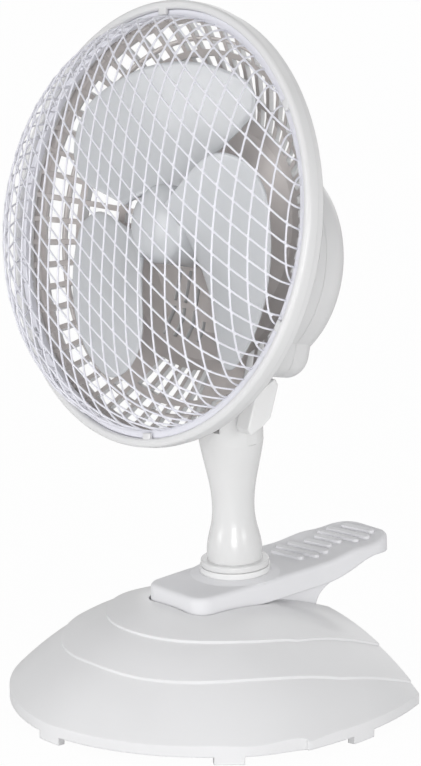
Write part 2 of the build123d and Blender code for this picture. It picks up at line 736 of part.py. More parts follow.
# ---------------------------------------------------------------- head: rear guard and housing
def offset_profile(points, distance):
    """Moves a (radius, depth) line rearward, square to its own run."""
    moved = []
    for k, (r, d) in enumerate(points):
        r0, d0 = points[max(k - 1, 0)]
        r1, d1 = points[min(k + 1, len(points) - 1)]
        length = hypot(r1 - r0, d1 - d0)
        moved.append((r + (d1 - d0) / length * distance, d + (r0 - r1) / length * distance))
    return moved


inner_face = [(share * ring_radius, depth) for share, depth in guard_profile]
inner_face.append((guard_plate_radius, guard_plate_depth))
outer_face = offset_profile(inner_face, guard_thickness)
bowl = spun([(0, inner_face[-1][1])] + inner_face[::-1] + outer_face + [(0, outer_face[-1][1])])
rim_outer = ring_radius - guard_rim_inset
rim = spun((
    (rim_outer - guard_rim_width, 0), (rim_outer, 0), (rim_outer, guard_rim_depth),
    (rim_outer - guard_rim_width, guard_rim_depth + 1.2),
))
in_front = spun([(0, -60), (120, -60), (120, inner_face[0][1])] + inner_face + [(0, inner_face[-1][1])])


def housing_face(inset=0.0):
    """Outline of the motor housing seen from the front: a disc with a wide foot."""
    disc = Pos(0, -housing_drop) * Circle(housing_radius - inset)
    foot = Pos(0, -(lobe_foot + lobe_top) / 2) * RectangleRounded(
        2 * (lobe_half_width - inset), lobe_foot - lobe_top - 2 * inset + 0.0, lobe_corner - inset
    )
    return disc + foot


def depth_prism(face, front, rear):
    return extrude(Plane(origin=(0, rear, 0), x_dir=(1, 0, 0), z_dir=(0, -1, 0)) * face, amount=rear - front)


housing_solid = depth_prism(housing_face(), 10, seam_depth)
housing_core = depth_prism(housing_face(housing_wall), 5, seam_depth + 1)
housing_wall_body = housing_solid - housing_core - in_front
windows = []
for outer_share, inner_share in guard_rows:
    outer_r, inner_r = outer_share * ring_radius, inner_share * ring_radius
    for i in range(rib_count):
        angle = i * 360 / rib_count
        mid_r = (outer_r + inner_r) / 2
        outer_w = 2 * pi * outer_r / rib_count - rib_width
        inner_w = 2 * pi * inner_r / rib_count - rib_width
        centre = (mid_r * sin(radians(angle)), mid_r * cos(radians(angle)))
        in_foot = abs(centre[0]) < lobe_half_width + 4 and -lobe_foot - 6 < centre[1] < -lobe_top
        in_disc = hypot(centre[0], centre[1] + housing_drop) < housing_radius + (outer_r - inner_r) / 2 + 1.5
        if in_foot or in_disc:
            continue
        window = make_face(Polyline(
            (-inner_w / 2, inner_r), (inner_w / 2, inner_r), (outer_w / 2, outer_r), (-outer_w / 2, outer_r), close=True,
        ))
        windows.append(Rot(Z=-angle) * window)
for x, top, foot in slot_lines:
    windows.append(Pos(x, (top + foot) / 2) * Rectangle(slot_width, top - foot))
window_faces = Sketch() + windows
bowl -= depth_prism(window_faces, 0, 60)
print("guard openings", len(windows))

lug_face = make_face([
    Polyline((-lug_radius, -lobe_foot + 4), (-lug_radius, -pivot_below_axis)),
    ThreePointArc((-lug_radius, -pivot_below_axis), (0, -pivot_below_axis - lug_radius), (lug_radius, -pivot_below_axis)),
    Polyline((lug_radius, -pivot_below_axis), (lug_radius, -lobe_foot + 4), (-lug_radius, -lobe_foot + 4)),
])
lug = side_body(Pos(pivot_behind_ring, 0) * lug_face, lug_half_width)
rear_guard = bowl + rim + housing_wall_body
lug = lug - depth_prism(housing_face(housing_wall), seam_depth, 90)
lug = lug - box((-40, 40), (seam_depth, 90), (-housing_drop - housing_radius - 0.4, 40))
rear_guard += lug
rear_guard -= rod(tilt_screw_radius + running_gap, 60, (-30, pivot_behind_ring, -pivot_below_axis), (1, 0, 0))
shaft_hole = rod(bearing_radius + 1.2, 30, (0, 25, 0), (0, 1, 0))
rear_guard -= shaft_hole
seat_rear = outer_face[-1][1]
for x in (motor_screw_x, -motor_screw_x):
    rear_guard += rod(3.4, stack_front - bracket_thickness - seat_rear, (x, seat_rear, 0), (0, 1, 0))
    rear_guard -= rod(motor_screw_radius, 10, (x, seat_rear + 0.4, 0), (0, 1, 0))
for x, z in cover_screw_places:
    post = rod(cover_post_radius, seam_depth - 30, (x, 30, z), (0, 1, 0)) - in_front
    rear_guard += post
    rear_guard -= rod(screw_radius, 12, (x, seam_depth - 12, z), (0, 1, 0))
keep("rear_guard", rear_guard, head_frame)

# Rear cover: a dished cap with a lower foot, vents, switch slot and cord hole
cap = Pos(0, 0, -housing_drop) * rod(housing_radius, cover_depth - seam_depth, (0, seam_depth, 0), (0, 1, 0))
cap = fillet(cap.edges().filter_by(GeomType.CIRCLE).sort_by(Axis.Y)[-1], cover_round)
foot_outline = Pos(0, -(lobe_foot + lobe_top) / 2) * RectangleRounded(2 * lobe_half_width, lobe_foot - lobe_top, lobe_corner)
cap_foot = depth_prism(foot_outline, seam_depth, lobe_cover_depth)
cap_foot = fillet(cap_foot.faces().sort_by(Axis.Y)[-1].edges(), lobe_round)
core = Pos(0, 0, -housing_drop) * rod(
    housing_radius - housing_wall, cover_depth - seam_depth - housing_wall, (0, seam_depth, 0), (0, 1, 0)
)
core = fillet(core.edges().filter_by(GeomType.CIRCLE).sort_by(Axis.Y)[-1], cover_round - housing_wall)
inner_outline = Pos(0, -(lobe_foot + lobe_top) / 2) * RectangleRounded(
    2 * (lobe_half_width - housing_wall), lobe_foot - lobe_top - 2 * housing_wall, lobe_corner - housing_wall
)
core_foot = depth_prism(inner_outline, seam_depth, lobe_cover_depth - housing_wall)
rear_cover = (cap + cap_foot) - core - core_foot
for i in range(vent_count):
    z = vent_top - i * vent_pitch
    vent_slot = Pos(0, z) * SlotOverall(2 * vent_half_length * (1 - 0.06 * abs(i - 3)), vent_width)
    rear_cover -= depth_prism(vent_slot, seam_depth + 4, cover_depth + 5)
for x, z in cover_screw_places:
    post = rod(cover_post_radius, cover_depth - seam_depth, (x, seam_depth, z), (0, 1, 0)) & ((cap + cap_foot))
    rear_cover += post
    rear_cover -= rod(screw_radius + 0.3, 30, (x, seam_depth - 1, z), (0, 1, 0))
    rear_cover -= rod(screw_head_radius + 0.3, 30, (x, seam_depth + 4, z), (0, 1, 0))
rear_cover -= box((-switch_width / 2, switch_width / 2), (seam_depth + 2, 90), (switch_z - switch_height / 2, switch_z + switch_height / 2))
rear_cover -= rod(gland_radius - 1.2, 20, (0, seam_depth + 2, gland_z), (0, 1, 0))
keep("rear_cover", rear_cover, head_frame)

keep("cover_screws", group([
    Plane((x, seam_depth + 4, z), z_dir=(0, -1, 0)) * screw(screw_radius, cover_screw_length - 4, screw_head_radius, screw_head_height)
    for x, z in cover_screw_places
]), head_frame)

# ---------------------------------------------------------------- motor
stack_mid = stack_front + stack_depth / 2
stack_face = RectangleRounded(stator_width, stator_height, 5)
stack_face -= Circle(stator_bore)
for side in (1, -1):
    window = Pos(side * (stator_width / 2 - 9), -stator_height / 2 + coil_height / 2 + 5) * Rectangle(stator_window_width, coil_height)
    stack_face -= window
stator_core = depth_prism(stack_face, stack_front, stack_front + stack_depth)
for side in (1, -1):
    stator_core -= rod(motor_screw_radius, 40, (side * motor_screw_x, stack_front - 5, 0), (0, 1, 0))
keep("stator_core", stator_core, head_frame)

coil_z = -stator_height / 2 + coil_height / 2 + 5
window_inner = stator_width / 2 - 9 - stator_window_width / 2
stack_leg = box((-window_inner, window_inner), (stack_front, stack_front + stack_depth), (coil_z - coil_height / 2, coil_z + coil_height / 2))
coil_wire_room = 3.0
stator_coil = box((-window_inner - coil_wire_room, window_inner + coil_wire_room),
                  (stack_front - 2.0, stack_front + stack_depth + 2.0),
                  (coil_z - coil_height / 2 + 0.2, coil_z + coil_height / 2 - 0.2))
stator_coil = fillet(stator_coil.edges().filter_by(Axis.Z), 1.5)
stator_coil -= stack_leg
keep("stator_coil", stator_coil, head_frame)


def bracket(depth, bearing_depth):
    """A bearing bridge across the laminations, with its bearing pocket."""
    half = motor_screw_x + 4
    plate = extrude(Plane(origin=(0, depth + bracket_thickness, 0), x_dir=(1, 0, 0), z_dir=(0, -1, 0))
                    * SlotOverall(2 * half, bracket_height * 0.72), amount=bracket_thickness)
    cup = rod(bearing_radius + 1.2, bearing_length + 1, (0, bearing_depth, 0), (0, 1, 0))
    body = plate + cup
    body -= rod(bearing_radius, bearing_length + 4, (0, bearing_depth - 1.5, 0), (0, 1, 0))
    for side in (1, -1):
        body -= rod(motor_screw_radius, 20, (side * motor_screw_x, depth - 5, 0), (0, 1, 0))
    return body


front_bracket_y = stack_front - bracket_thickness
rear_bracket_y = stack_front + stack_depth
keep("front_bracket", bracket(front_bracket_y, front_bracket_y - bearing_length - 1 + bracket_thickness), head_frame)
keep("rear_bracket", bracket(rear_bracket_y, rear_bracket_y), head_frame)
front_bearing_y = front_bracket_y - bearing_length + bracket_thickness - 0.5
rear_bearing_y = rear_bracket_y + 0.5
for name, y in (("front_bearing", front_bearing_y), ("rear_bearing", rear_bearing_y)):
    bush = rod(bearing_radius, bearing_length, (0, y, 0), (0, 1, 0))
    bush -= rod(shaft_radius + running_gap, 20, (0, y - 5, 0), (0, 1, 0))
    keep(name, bush, head_frame)

motor_screw_end = seat_rear + 0.6
motor_screw_seat = rear_bracket_y + bracket_thickness
keep("motor_screws", group([
    Plane((side * motor_screw_x, motor_screw_seat, 0), z_dir=(0, -1, 0)) * screw(
        motor_screw_radius, motor_screw_seat - motor_screw_end, 3.2, 1.8)
    for side in (1, -1)
]), head_frame)

# ---------------------------------------------------------------- rotor
keep("motor_shaft", rod(shaft_radius, shaft_rear - shaft_front, (0, shaft_front, 0), (0, 1, 0)), head_frame)
rotor_core = rod(rotor_radius, stack_depth, (0, stack_front, 0), (0, 1, 0))
rotor_core -= rod(shaft_radius, 60, (0, 20, 0), (0, 1, 0))
keep("rotor_core", rotor_core, head_frame)

hub = revolve(make_face([
    Spline((0, hub_front), (hub_radius * 0.74, hub_front + 2.4), (hub_radius, hub_front + 7),
           tangents=((1, 0), (0, 1))),
    Line((hub_radius, hub_front + 7), (hub_radius, hub_rear)),
    Line((hub_radius, hub_rear), (0, hub_rear)),
    Line((0, hub_rear), (0, hub_front)),
]), Axis.Y)
hub_hollow = rod(hub_radius - hub_wall, hub_rear - hub_front - 10, (0, hub_front + 10, 0), (0, 1, 0))
hub_hollow -= rod(shaft_radius + 2.6, 60, (0, -10, 0), (0, 1, 0))


def blade_depth(radius, angle):
    """Depth of the blade's front face: a twisted sheet, steeper at its leading edge."""
    swell = 1.0 + 0.10 * (1 - radius / blade_radius)
    return blade_mid_y + blade_pitch * swell * angle + 1.6 * angle**2


def polar(radius, angle):
    return (radius * sin(angle), radius * cos(angle))


def blade_body():
    rear, front = radians(blade_rear_reach), -radians(blade_front_reach)
    rows, columns = 8, 10
    low, top = 8.0, blade_radius + 6
    spread = radians(14)
    grid = []
    for j in range(rows + 1):
        radius = low + (top - low) * j / rows
        line = []
        for i in range(columns + 1):
            angle = front - spread + (rear - front + 2 * spread) * i / columns
            x, z = polar(radius, angle)
            line.append(Vector(x, blade_depth(radius, angle), z))
        grid.append(line)
    surface = Face.make_surface_from_array_of_points(grid, tol=0.05)
    slab = extrude(surface, amount=blade_thickness, dir=(0, 1, 0))
    root = hub_radius - 1.0
    front_root, rear_root = front - radians(2), rear - radians(26)
    outline = make_face([
        ThreePointArc(polar(blade_radius, front), polar(blade_radius, (rear + front) / 2), polar(blade_radius, rear)),
        ThreePointArc(polar(blade_radius, rear), polar(blade_radius * 0.6, rear - radians(4)), polar(root, rear_root)),
        ThreePointArc(polar(root, rear_root), polar(root, 0), polar(root, front_root)),
        ThreePointArc(polar(root, front_root), polar(blade_radius * 0.55, front - radians(8)), polar(blade_radius, front)),
    ])
    for angle, size in ((rear, blade_rear_corner), (front, blade_front_corner)):
        x, z = polar(blade_radius, angle)
        corner = outline.vertices().filter_by(lambda v: hypot(v.X - x, v.Y - z) < 0.5)
        outline = fillet(corner, size)
    return slab & depth_prism(outline, -60, 60)


one_blade = blade_body()
fan_blades = hub
for i in range(blade_count):
    fan_blades += Rot(Y=blade_phase + i * 360 / blade_count) * one_blade
fan_blades -= hub_hollow
fan_blades -= rod(shaft_radius, 100, (0, shaft_front, 0), (0, 1, 0))
keep("fan_blades", fan_blades, head_frame)

# ---------------------------------------------------------------- switch and gland
switch_body = box((-switch_width / 2 - 2, switch_width / 2 + 2), (cover_depth - housing_wall - switch_body_depth, cover_depth - housing_wall),
                  (switch_z - switch_height / 2 - 1.5, switch_z + switch_height / 2 + 1.5))
keep("switch_body", switch_body, head_frame)
slider = box((-slider_width / 2 - slider_travel / 2, slider_width / 2 - slider_travel / 2),
             (cover_depth - housing_wall + 0.1, cover_depth + slider_stand_out),
             (switch_z - switch_height / 2 + 0.3, switch_z + switch_height / 2 - 0.3))
slider = fillet(slider.faces().sort_by(Axis.Y)[-1].edges(), 0.8)
keep("switch_slider", slider, head_frame)
gland = rod(gland_radius, gland_length - 2, (0, cover_depth, gland_z), (0, 1, 0))
gland = fillet(gland.edges().filter_by(GeomType.CIRCLE).sort_by(Axis.Y)[-1], 1.2)
gland += rod(gland_radius - 1.2, housing_wall + 1.4, (0, cover_depth - housing_wall - 1.4, gland_z), (0, 1, 0))
gland -= rod(gland_bore, 40, (0, 40, gland_z), (0, 1, 0))
keep("cord_gland", gland, head_frame)

# ---------------------------------------------------------------- write the pieces
os.makedirs("parts", exist_ok=True)
for name, shape in parts.items():
    export_step(shape, f"parts/{name}.step")
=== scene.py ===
from math import cos, pi, radians, sin, tan

import bpy
import bmesh
from mathutils import Matrix, Vector


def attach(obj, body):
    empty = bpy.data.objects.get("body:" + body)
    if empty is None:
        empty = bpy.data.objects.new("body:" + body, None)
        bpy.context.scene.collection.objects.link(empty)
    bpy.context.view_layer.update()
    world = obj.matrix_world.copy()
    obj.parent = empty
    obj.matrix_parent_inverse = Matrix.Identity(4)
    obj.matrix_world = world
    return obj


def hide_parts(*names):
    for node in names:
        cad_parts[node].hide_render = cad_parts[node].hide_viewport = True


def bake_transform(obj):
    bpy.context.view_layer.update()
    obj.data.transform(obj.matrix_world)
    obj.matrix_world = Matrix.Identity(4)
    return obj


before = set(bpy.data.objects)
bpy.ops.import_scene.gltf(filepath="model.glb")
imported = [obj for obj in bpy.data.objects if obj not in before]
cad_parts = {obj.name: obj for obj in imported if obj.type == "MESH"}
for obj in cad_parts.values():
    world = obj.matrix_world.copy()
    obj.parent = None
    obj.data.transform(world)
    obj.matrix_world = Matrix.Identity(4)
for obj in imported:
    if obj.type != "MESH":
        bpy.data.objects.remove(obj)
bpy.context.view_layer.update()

# ---- Studio: a pale floor, a white room and soft lamps
# The camera stands to the front right of the fan and a little above it. The room is brightest
# low down, as round a product on a white table, so upright faces are lighter than level ones.
camera_data = bpy.data.cameras.new("camera")
camera_data.sensor_fit = "VERTICAL"
camera_data.sensor_height = 36.0
camera_data.lens = 163.65
camera_data.clip_start, camera_data.clip_end = 0.05, 20.0
camera = bpy.data.objects.new("camera", camera_data)
bpy.context.scene.collection.objects.link(camera)
camera.location = (1.1105, -0.962375, 0.5088)
looked_at = Vector((-0.0074, 0.002725, 0.1408))
camera.rotation_mode = "QUATERNION"
camera.rotation_quaternion = (looked_at - camera.location).to_track_quat("-Z", "Y")
bpy.context.scene.camera = camera
bpy.context.scene.view_settings.view_transform = "Standard"

half_floor = 6
floor_mesh = bpy.data.meshes.new("floor")
floor_mesh.from_pydata([
    (-half_floor, -half_floor, 0), (half_floor, -half_floor, 0),
    (half_floor, half_floor, 0), (-half_floor, half_floor, 0),
], [], [(0, 1, 2, 3)])
floor = bpy.data.objects.new("floor", floor_mesh)
bpy.context.scene.collection.objects.link(floor)


def add_node(tree, kind, **settings):
    """One shader or geometry node with its settings, and inputs given by index as in_0, in_1 and so on."""
    node = tree.nodes.new(kind)
    for key, value in settings.items():
        if key.startswith("in_"):
            node.inputs[int(key[3:])].default_value = value
        else:
            setattr(node, key, value)
    return node


room_light = bpy.data.worlds.new("room")
bpy.context.scene.world = room_light
room_light.use_nodes = True
tree = room_light.node_tree
tree.nodes.clear()
path = add_node(tree, "ShaderNodeLightPath")
seen = add_node(tree, "ShaderNodeMath", operation="MAXIMUM")
tree.links.new(path.outputs["Is Camera Ray"], seen.inputs[0])
tree.links.new(path.outputs["Is Transmission Ray"], seen.inputs[1])
towards = add_node(tree, "ShaderNodeTexCoord")
parts_of = add_node(tree, "ShaderNodeSeparateXYZ")
tree.links.new(towards.outputs["Generated"], parts_of.inputs[0])
low_light, high_light, dim_from = 0.66, 0.36, 0.85
height_map = add_node(tree, "ShaderNodeMapRange", in_1=0.0, in_2=dim_from, in_3=low_light, in_4=high_light)
tree.links.new(parts_of.outputs[2], height_map.inputs[0])
soft = add_node(tree, "ShaderNodeBackground", in_0=(1, 1, 1, 1))
tree.links.new(height_map.outputs[0], soft.inputs[1])
white = add_node(tree, "ShaderNodeBackground", in_0=(1, 1, 1, 1), in_1=1.0)
mix = add_node(tree, "ShaderNodeMixShader")
end = add_node(tree, "ShaderNodeOutputWorld")
tree.links.new(seen.outputs[0], mix.inputs[0])
tree.links.new(soft.outputs[0], mix.inputs[1])
tree.links.new(white.outputs[0], mix.inputs[2])
tree.links.new(mix.outputs[0], end.inputs[0])

lit_point = Vector((0, 0, 0.15))
for name, place, size, power in (
    ("lamp_left", (-0.6, -1.7, 0.5), 0.8, 10.0),
    ("lamp_front", (1.5, -1.3, 0.45), 0.7, 14.0),
    ("lamp_right", (1.9, 0.2, 0.6), 0.6, 7.0),
    ("lamp_back", (-1.2, 1.8, 1.3), 2.2, 11.0),
):
    lamp_data = bpy.data.lights.new(name, "AREA")
    lamp_data.size = size
    lamp_data.energy = power
    lamp = bpy.data.objects.new(name, lamp_data)
    lamp.location = place
    lamp.rotation_mode = "QUATERNION"
    lamp.rotation_quaternion = (lit_point - Vector(place)).to_track_quat("-Z", "Y")
    bpy.context.scene.collection.objects.link(lamp)

floor_glow = 0.97
floor_finish = bpy.data.materials.new("floor_finish")
floor_finish.use_nodes = True
tree = floor_finish.node_tree
tree.nodes.clear()
dull = add_node(tree, "ShaderNodeBsdfDiffuse", in_0=(0.90, 0.90, 0.90, 1))
glow = add_node(tree, "ShaderNodeEmission", in_0=(1, 1, 1, 1), in_1=1.0)
path = add_node(tree, "ShaderNodeLightPath")
mix = add_node(tree, "ShaderNodeMixShader")
end = add_node(tree, "ShaderNodeOutputMaterial")
share = add_node(tree, "ShaderNodeMath", operation="MULTIPLY", in_1=floor_glow)
tree.links.new(path.outputs["Is Camera Ray"], share.inputs[0])
tree.links.new(share.outputs[0], mix.inputs[0])
tree.links.new(dull.outputs[0], mix.inputs[1])
tree.links.new(glow.outputs[0], mix.inputs[2])
tree.links.new(mix.outputs[0], end.inputs[0])
floor_mesh.materials.append(floor_finish)

# ---- Base shell
# One terraced D-shaped moulding in white ABS with a satin gloss, about 2.4 mm thick. Its low steps
# have softened edges, and short feet under its rim stand on the table.


def coated(name, colour, roughness, grain=0.0, grain_size=900.0, shade=0.03, clear=0.0, soft_edge=0.0):
    """A moulded or coated surface: slight cloudiness in its colour, a fine grain that breaks up its gloss, and
    edges that look softened over soft_edge metres."""
    coat_roughness, cloud_scale, cloud_span, grain_depth = 0.12, 22.0, (0.35, 0.65), 0.0002
    finish = bpy.data.materials.new(name)
    finish.use_nodes = True
    tree = finish.node_tree
    shader = tree.nodes["Principled BSDF"]
    shader.inputs["Roughness"].default_value = roughness
    shader.inputs["Coat Weight"].default_value = clear
    shader.inputs["Coat Roughness"].default_value = coat_roughness
    where = add_node(tree, "ShaderNodeTexCoord")
    cloud = add_node(tree, "ShaderNodeTexNoise")
    cloud.inputs["Scale"].default_value = cloud_scale
    cloud.inputs["Detail"].default_value = 2.0
    tree.links.new(where.outputs["Object"], cloud.inputs["Vector"])
    ramp = add_node(tree, "ShaderNodeValToRGB")
    ramp.color_ramp.elements[0].position, ramp.color_ramp.elements[1].position = cloud_span
    ramp.color_ramp.elements[0].color = [c * (1 - shade) for c in colour] + [1]
    ramp.color_ramp.elements[1].color = list(colour) + [1]
    tree.links.new(cloud.outputs["Fac"], ramp.inputs["Fac"])
    tree.links.new(ramp.outputs["Color"], shader.inputs["Base Color"])
    facing = None
    if soft_edge:
        softened = add_node(tree, "ShaderNodeBevel", samples=6)
        softened.inputs["Radius"].default_value = soft_edge
        facing = softened.outputs["Normal"]
        tree.links.new(facing, shader.inputs["Normal"])
    if grain:
        fine = add_node(tree, "ShaderNodeTexNoise")
        fine.inputs["Scale"].default_value = grain_size
        fine.inputs["Detail"].default_value = 3.0
        tree.links.new(where.outputs["Object"], fine.inputs["Vector"])
        raised = add_node(tree, "ShaderNodeBump")
        raised.inputs["Strength"].default_value = grain
        raised.inputs["Distance"].default_value = grain_depth
        tree.links.new(fine.outputs["Fac"], raised.inputs["Height"])
        if facing:
            tree.links.new(facing, raised.inputs["Normal"])
        tree.links.new(raised.outputs["Normal"], shader.inputs["Normal"])
    return finish


def dress(finish, slot_name, *names):
    """Gives a finish to pieces that keep the shape they have in the frame."""
    for name in names:
        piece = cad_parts[name]
        piece.data.materials.clear()
        piece.data.materials.append(finish)


base_plastic = coated(
    "base_plastic", (0.80, 0.80, 0.81), 0.30, grain=0.10, grain_size=700.0, clear=0.2, soft_edge=0.0007
)
dress(base_plastic, "base_white", "base_shell")

# ---- Base plate, weight and screws
# A flat white ABS plate closes the base. It carries a cast iron weight on two pins near the front,
# and four zinc plated screws hold it from below.
plate_plastic = coated("plate_plastic", (0.76, 0.76, 0.77), 0.48, grain=0.35, grain_size=1200.0, soft_edge=0.0003)
dress(plate_plastic, "base_white", "base_plate")


def metal(name, colour, roughness, grain=(60.0, 60.0, 60.0), shade=0.12):
    """Bare metal: its colour and gloss vary along the grain that rolling, turning or casting leaves."""
    streak_scale, streak_span, gloss_spread = 8.0, (0.3, 0.7), (0.8, 1.25)
    finish = bpy.data.materials.new(name)
    finish.use_nodes = True
    tree = finish.node_tree
    shader = tree.nodes["Principled BSDF"]
    shader.inputs["Metallic"].default_value = 1.0
    where = add_node(tree, "ShaderNodeTexCoord")
    stretch = add_node(tree, "ShaderNodeMapping")
    stretch.inputs["Scale"].default_value = grain
    tree.links.new(where.outputs["Object"], stretch.inputs["Vector"])
    streaks = add_node(tree, "ShaderNodeTexNoise")
    streaks.inputs["Scale"].default_value = streak_scale
    streaks.inputs["Detail"].default_value = 4.0
    tree.links.new(stretch.outputs[0], streaks.inputs["Vector"])
    ramp = add_node(tree, "ShaderNodeValToRGB")
    ramp.color_ramp.elements[0].position, ramp.color_ramp.elements[1].position = streak_span
    ramp.color_ramp.elements[0].color = [c * (1 - shade) for c in colour] + [1]
    ramp.color_ramp.elements[1].color = list(colour) + [1]
    tree.links.new(streaks.outputs["Fac"], ramp.inputs["Fac"])
    tree.links.new(ramp.outputs["Color"], shader.inputs["Base Color"])
    smoother, rougher = (roughness * share for share in gloss_spread)
    gloss = add_node(tree, "ShaderNodeMapRange", in_3=smoother, in_4=rougher)
    tree.links.new(streaks.outputs["Fac"], gloss.inputs[0])
    tree.links.new(gloss.outputs[0], shader.inputs["Roughness"])
    return finish


cast_iron = metal("cast_iron", (0.10, 0.10, 0.105), 0.62, shade=0.35)
dress(cast_iron, "weight_iron", "base_weight")
zinc_plate = metal("zinc_plate", (0.62, 0.62, 0.64), 0.30, shade=0.10)
dress(zinc_plate, "steel", "base_screws")

# ---- Lower jaw and its pad
# White ABS trough that reaches through the base's slot: its flat tongue grips from below, its cheeks
# carry the pin, and a soft grey rubber pad is glued into its front.
jaw_plastic = coated(
    "jaw_plastic", (0.78, 0.78, 0.80), 0.32, grain=0.10, grain_size=700.0, clear=0.15, soft_edge=0.0006
)
dress(jaw_plastic, "white_shell", "lower_jaw")
pad_rubber = coated("pad_rubber", (0.45, 0.45, 0.46), 0.75, grain=0.5, grain_size=500.0, shade=0.08)
dress(pad_rubber, "pad_rubber", "lower_pad")

# ---- Pin and spring
# A drawn steel pin joins the jaws. The torsion spring round it is one bright steel wire of four turns
# whose legs press the jaws shut.
drawn_steel = metal("drawn_steel", (0.66, 0.66, 0.67), 0.22, grain=(15.0, 90.0, 90.0))
dress(drawn_steel, "steel", "clip_pin")
spring_wire = metal("spring_wire", (0.58, 0.59, 0.60), 0.25, grain=(90.0, 90.0, 90.0))
spring = bpy.data.objects.new("spring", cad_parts["clip_spring"].data.copy())
bpy.context.scene.collection.objects.link(spring)
spring.data.materials.clear()
spring.data.materials.append(spring_wire)
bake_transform(spring)
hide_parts("clip_spring")

# ---- Upper jaw and its pad
# White ABS, an upturned tray with a round boss for the swivel. Its rear end is the thumb rest, with two
# leaf-shaped groups of ridges, and its pad is the same rubber as the lower one. Its grained top is duller
# than the other plastic.
faint_gloss = 0.2
upper_plastic = coated("upper_plastic", (0.78, 0.78, 0.80), 0.62, grain=0.10, grain_size=700.0, soft_edge=0.0009)
upper_plastic.node_tree.nodes["Principled BSDF"].inputs["Specular IOR Level"].default_value = faint_gloss
dress(upper_plastic, "white_shell", "upper_jaw")
dress(pad_rubber, "pad_rubber", "upper_pad")

# ---- Swivel: collar, washer and screw
# A moulded white collar stands on the boss and the neck turns on it. A steel washer and a screw hold
# the neck's spigot from below.
collar_plastic = coated("collar_plastic", (0.81, 0.81, 0.81), 0.28, grain=0.08, clear=0.3, soft_edge=0.0007)
dress(collar_plastic, "white_shell", "swivel_collar")
dress(zinc_plate, "steel", "swivel_washer", "swivel_screw")

# ---- Neck
# A waisted white ABS column, moulded in one with the flange that turns on the collar and the fork
# that takes the head's lug.
neck_plastic = coated("neck_plastic", (0.74, 0.74, 0.74), 0.26, grain=0.06, clear=0.3, soft_edge=0.0008)
dress(neck_plastic, "white_shell", "neck")

# ---- Tilt screw and washers
# A slotted steel machine screw through the fork, and two steel washers on both sides of the lug that give
# the tilt its friction.
dress(zinc_plate, "steel", "tilt_screw", "tilt_washers")

# ---- Tilt knob
# A slanted white wing that a thumb and a finger turn, with a turned brass nut moulded into it.
knob_plastic = coated("knob_plastic", (0.80, 0.80, 0.80), 0.32, grain=0.08, clear=0.15, soft_edge=0.0007)
dress(knob_plastic, "white_shell", "tilt_knob")
turned_brass = metal("turned_brass", (0.70, 0.50, 0.22), 0.28, shade=0.10)
dress(turned_brass, "brass", "knob_insert")

# ---- Rear guard
# One white ABS moulding: rim, ribs and rings of the bowl, the flat plate behind the blades, the wall of
# the motor's housing and the lug that stands in the neck's fork.
guard_plastic = coated(
    "guard_plastic", (0.68, 0.68, 0.685), 0.36, grain=0.10, grain_size=700.0, clear=0.1, soft_edge=0.0007
)

# Painted shade and painted light inside the bowl, set by how far each face turns forwards: the sloping wall is painted
# warmer and darker as shade, and the flat plate is painted lighter as light
forwards = (0.0, -0.9845, 0.1754)
side_on, slope_levels, face_on = 0.05, (0.50, 0.88), 0.97
slope_shade, plate_light = (0.84, 0.78, 0.75, 1), (1.16, 1.09, 1.05, 1)
tree = guard_plastic.node_tree
shader = tree.nodes["Principled BSDF"]
facing = add_node(tree, "ShaderNodeVectorMath", operation="DOT_PRODUCT", in_1=forwards)
tree.links.new(add_node(tree, "ShaderNodeTexCoord").outputs["Normal"], facing.inputs[0])
inner = add_node(tree, "ShaderNodeValToRGB")
inner.color_ramp.elements[0].position, inner.color_ramp.elements[1].position = side_on, face_on
inner.color_ramp.elements[0].color, inner.color_ramp.elements[1].color = (1, 1, 1, 1), plate_light
for level in slope_levels:
    inner.color_ramp.elements.new(level).color = slope_shade
tree.links.new(facing.outputs["Value"], inner.inputs[0])
# The guard's colour is multiplied by this painted shade and painted light
painted_shade_and_light = add_node(tree, "ShaderNodeMix", data_type="RGBA", blend_type="MULTIPLY", in_0=1.0)
tree.links.new(inner.outputs["Color"], painted_shade_and_light.inputs[7])
tree.links.new(shader.inputs["Base Color"].links[0].from_socket, painted_shade_and_light.inputs[6])
tree.links.new(painted_shade_and_light.outputs[2], shader.inputs["Base Color"])
dress(guard_plastic, "white_shell", "rear_guard")

# The head stands on the tilt point, which stands above the clip's leaning seat
clip_seat, clip_lean, pivot_height = (0, 0.011237, 0.046), radians(2.4), 0.0888
head_lean, ring_from_pivot = radians(-12.5), (0, -0.0548, 0.0721)
clip_place = Matrix.Translation(clip_seat) @ Matrix.Rotation(clip_lean, 4, "X")
tilt_point = clip_place @ Vector((0, 0, pivot_height))
head_place = (
    Matrix.Translation(tilt_point) @ Matrix.Rotation(head_lean, 4, "X") @ Matrix.Translation(ring_from_pivot)
)


def place_piece(piece, place, body, slot_name, *stands_for):
    """Puts the place into the mesh, so that the object sits at the origin, and hangs it on its body."""
    piece.data.transform(place)
    piece.data.update()
    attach(piece, body)
    if stands_for:
        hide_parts(*stands_for)
    return piece


def new_piece(name, points, faces, finish):
    """A new object from its points and faces."""
    mesh = bpy.data.meshes.new(name)
    mesh.from_pydata([tuple(p) for p in points], [], faces)
    mesh.materials.append(finish)
    mesh.polygons.foreach_set("use_smooth", [True] * len(mesh.polygons))
    piece = bpy.data.objects.new(name, mesh)
    bpy.context.scene.collection.objects.link(piece)
    return piece


def close_up(piece):
    """Joins doubled points and turns every face outwards."""
    weld, sliver = 2e-6, 1e-7
    shape = bmesh.new()
    shape.from_mesh(piece.data)
    bmesh.ops.remove_doubles(shape, verts=shape.verts, dist=weld)
    bmesh.ops.dissolve_degenerate(shape, dist=sliver, edges=shape.edges)
    bmesh.ops.recalc_face_normals(shape, faces=shape.faces)
    shape.to_mesh(piece.data)
    shape.free()
    return piece


